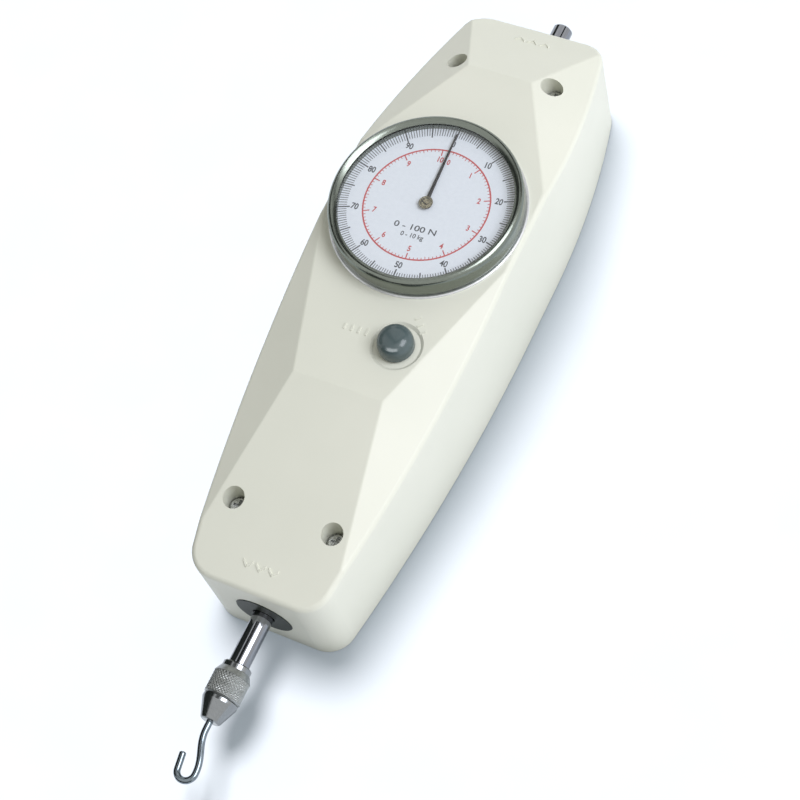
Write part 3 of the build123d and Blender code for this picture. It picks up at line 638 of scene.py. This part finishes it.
def white_stage():
    """Pale floor: white to the camera and to what mirrors it, with the object's shadow kept."""
    made, shader = new_material("pale_floor", (0.36, 0.40, 0.45), 0.0, 0.9)
    grain = noise(made, 40, 2.0)
    vary_colour(made, shader, grain, (0.355, 0.395, 0.445), (0.365, 0.405, 0.455))
    shader.inputs["Specular IOR Level"].default_value = 0.1
    lifted = add_node(made, "ShaderNodeMath", operation="MULTIPLY")
    link(made, seen_or_mirrored(made), lifted.inputs[0])
    lifted.inputs[1].default_value = FLOOR_LIFT
    glow = add_node(made, "ShaderNodeEmission", Color=(0.84, 0.97, 1.10, 1))
    link(made, lifted.outputs[0], glow.inputs["Strength"])
    both = add_node(made, "ShaderNodeAddShader")
    link(made, shader.outputs[0], both.inputs[0])
    link(made, glow.outputs[0], both.inputs[1])
    link(made, both.outputs[0], made.node_tree.nodes["Material Output"].inputs["Surface"])
    return made


bm = bmesh.new()
bmesh.ops.create_grid(bm, x_segments=8, y_segments=8, size=3.0)
floor_mesh = to_mesh("floor", bm)
floor = bpy.data.objects.new("floor", floor_mesh)
floor_mesh.materials.append(white_stage())
bpy.context.scene.collection.objects.link(floor)
floor.location = (0, 0, -0.0003)

world = bpy.data.worlds.new("studio")
bpy.context.scene.world = world
world.use_nodes = True
background = world.node_tree.nodes["Background"]
background.inputs["Color"].default_value = (0.985, 0.98, 0.91, 1)
sky_place = add_node(world, "ShaderNodeTexCoord")
sky_lean = add_node(world, "ShaderNodeVectorMath", operation="DOT_PRODUCT")
sky_lean.inputs[1].default_value = SKY_LEAN
sky_level = add_node(world, "ShaderNodeMath", operation="ADD")
sky_level.inputs[1].default_value = SKY_STRENGTH
link(world, sky_place.outputs["Generated"], sky_lean.inputs[0])
link(world, sky_lean.outputs["Value"], sky_level.inputs[0])
link(world, sky_level.outputs[0], background.inputs["Strength"])
white = add_node(world, "ShaderNodeBackground", Color=(1, 1, 1, 1), Strength=1.0)
choose = add_node(world, "ShaderNodeMixShader")
link(world, seen_or_mirrored(world), choose.inputs[0])
link(world, background.outputs[0], choose.inputs[1])
link(world, white.outputs[0], choose.inputs[2])
link(world, choose.outputs[0], world.node_tree.nodes["World Output"].inputs["Surface"])


def only_for(lamp, subjects, state):
    """Lets a lamp light these objects alone, or everything but them."""
    receivers = bpy.data.collections.new(lamp.name + "_receivers")
    for subject in subjects:
        receivers.objects.link(subject)
    lamp.light_linking.receiver_collection = receivers
    for listed in receivers.collection_objects:
        listed.light_linking.link_state = state


def aimed(name, lamp, place_at):
    """Hangs a lamp at a place, turned to the object."""
    holder = bpy.data.objects.new(name, lamp)
    bpy.context.scene.collection.objects.link(holder)
    holder.location = place_at
    aim = LAMP_TARGET - Vector(place_at)
    holder.rotation_euler = aim.to_track_quat("-Z", "Y").to_euler()
    return holder


def soft_light(name, place_at, size, watts, colour):
    lamp = bpy.data.lights.new(name, "AREA")
    lamp.shape = "RECTANGLE"
    lamp.size = size[0]
    lamp.size_y = size[1]
    lamp.energy = watts
    lamp.color = colour
    return aimed(name, lamp, place_at)


key = soft_light("key", (0.93, 0.16, 1.16), size=(0.9, 0.9), watts=15.6, colour=(0.965, 0.985, 1.07))
only_for(key, [floor, nodes["lens"]], "EXCLUDE")
front = soft_light("front", (0.08, -0.95, 0.72), size=(1.25, 0.60), watts=15.0, colour=(0.96, 0.98, 1.0))
only_for(front, [nodes["peak_knob"]], "INCLUDE")
front.visible_diffuse = False    # a sheen on the knob and no more light on its colour
shade = bpy.data.lights.new("floor_light", "SUN")
shade.energy = 5.75
shade.angle = math.radians(28)
shade.color = (1.05, 0.975, 0.93)
floor_light = aimed("floor_light", shade, (-0.27, 0.38, 1.40))
only_for(floor_light, [floor], "INCLUDE")


def dark_card(name, centre, normal, size):
    """Unseen dark board that metal mirrors, as in a studio."""
    bm = bmesh.new()
    bmesh.ops.create_grid(bm, x_segments=2, y_segments=2, size=0.5)
    mesh = to_mesh(name, bm)
    made, shader = new_material(name, (0.02, 0.026, 0.02), 0.0, 0.9)
    vary_colour(made, shader, noise(made, 20, 2.0), (0.018, 0.024, 0.018), (0.024, 0.03, 0.024))
    mesh.materials.append(made)
    card = bpy.data.objects.new(name, mesh)
    bpy.context.scene.collection.objects.link(card)
    card.location = centre
    card.scale = (size[0], size[1], 1)
    card.rotation_euler = Vector(normal).to_track_quat("Z", "Y").to_euler()
    card.visible_camera = False
    card.visible_shadow = False
    card.visible_diffuse = False


dark_card("card_left", (-0.75, 0.15, 0.36), (1, -0.2, -0.3), (1.2, 0.42))
dark_card("card_back", (0.1, 0.95, 0.45), (0, -1, -0.3), (1.2, 0.40))
dark_card("card_front", (-0.05, -0.34, 0.075), (0, 1, 0.1), (0.6, 0.15))
dark_card("card_near", (-0.06, -0.125, 0.06), (1, 0, 0), (0.10, 0.12))
dark_card("strip_left", (-0.42, 0.25, 0.68), (0.5, -0.3, -0.8), (0.16, 1.1))
dark_card("strip_top", (0.16, 0.25, 0.80), (-0.2, -0.3, -0.9), (0.14, 1.1))

CAMERA_PLACE = Vector((212.1, -229.7, 536.5)) * MM
CAMERA_RIGHT = Vector((0.8874, 0.4239, -0.1812))
CAMERA_BACK = Vector((0.3433, -0.3452, 0.8735))

camera_data = bpy.data.cameras.new("camera")
camera_data.lens = 96.06
camera_data.sensor_width = 36.0
camera_data.clip_start = 0.01
camera_data.clip_end = 20
camera = bpy.data.objects.new("camera", camera_data)
bpy.context.scene.collection.objects.link(camera)
right = CAMERA_RIGHT.normalized()
back = CAMERA_BACK.normalized()
up = back.cross(right).normalized()
right = up.cross(back).normalized()
turn = Matrix((right, up, back)).transposed()
camera.matrix_world = Matrix.Translation(CAMERA_PLACE) @ turn.to_4x4()
bpy.context.scene.camera = camera
bpy.context.scene.view_settings.view_transform = "Standard"
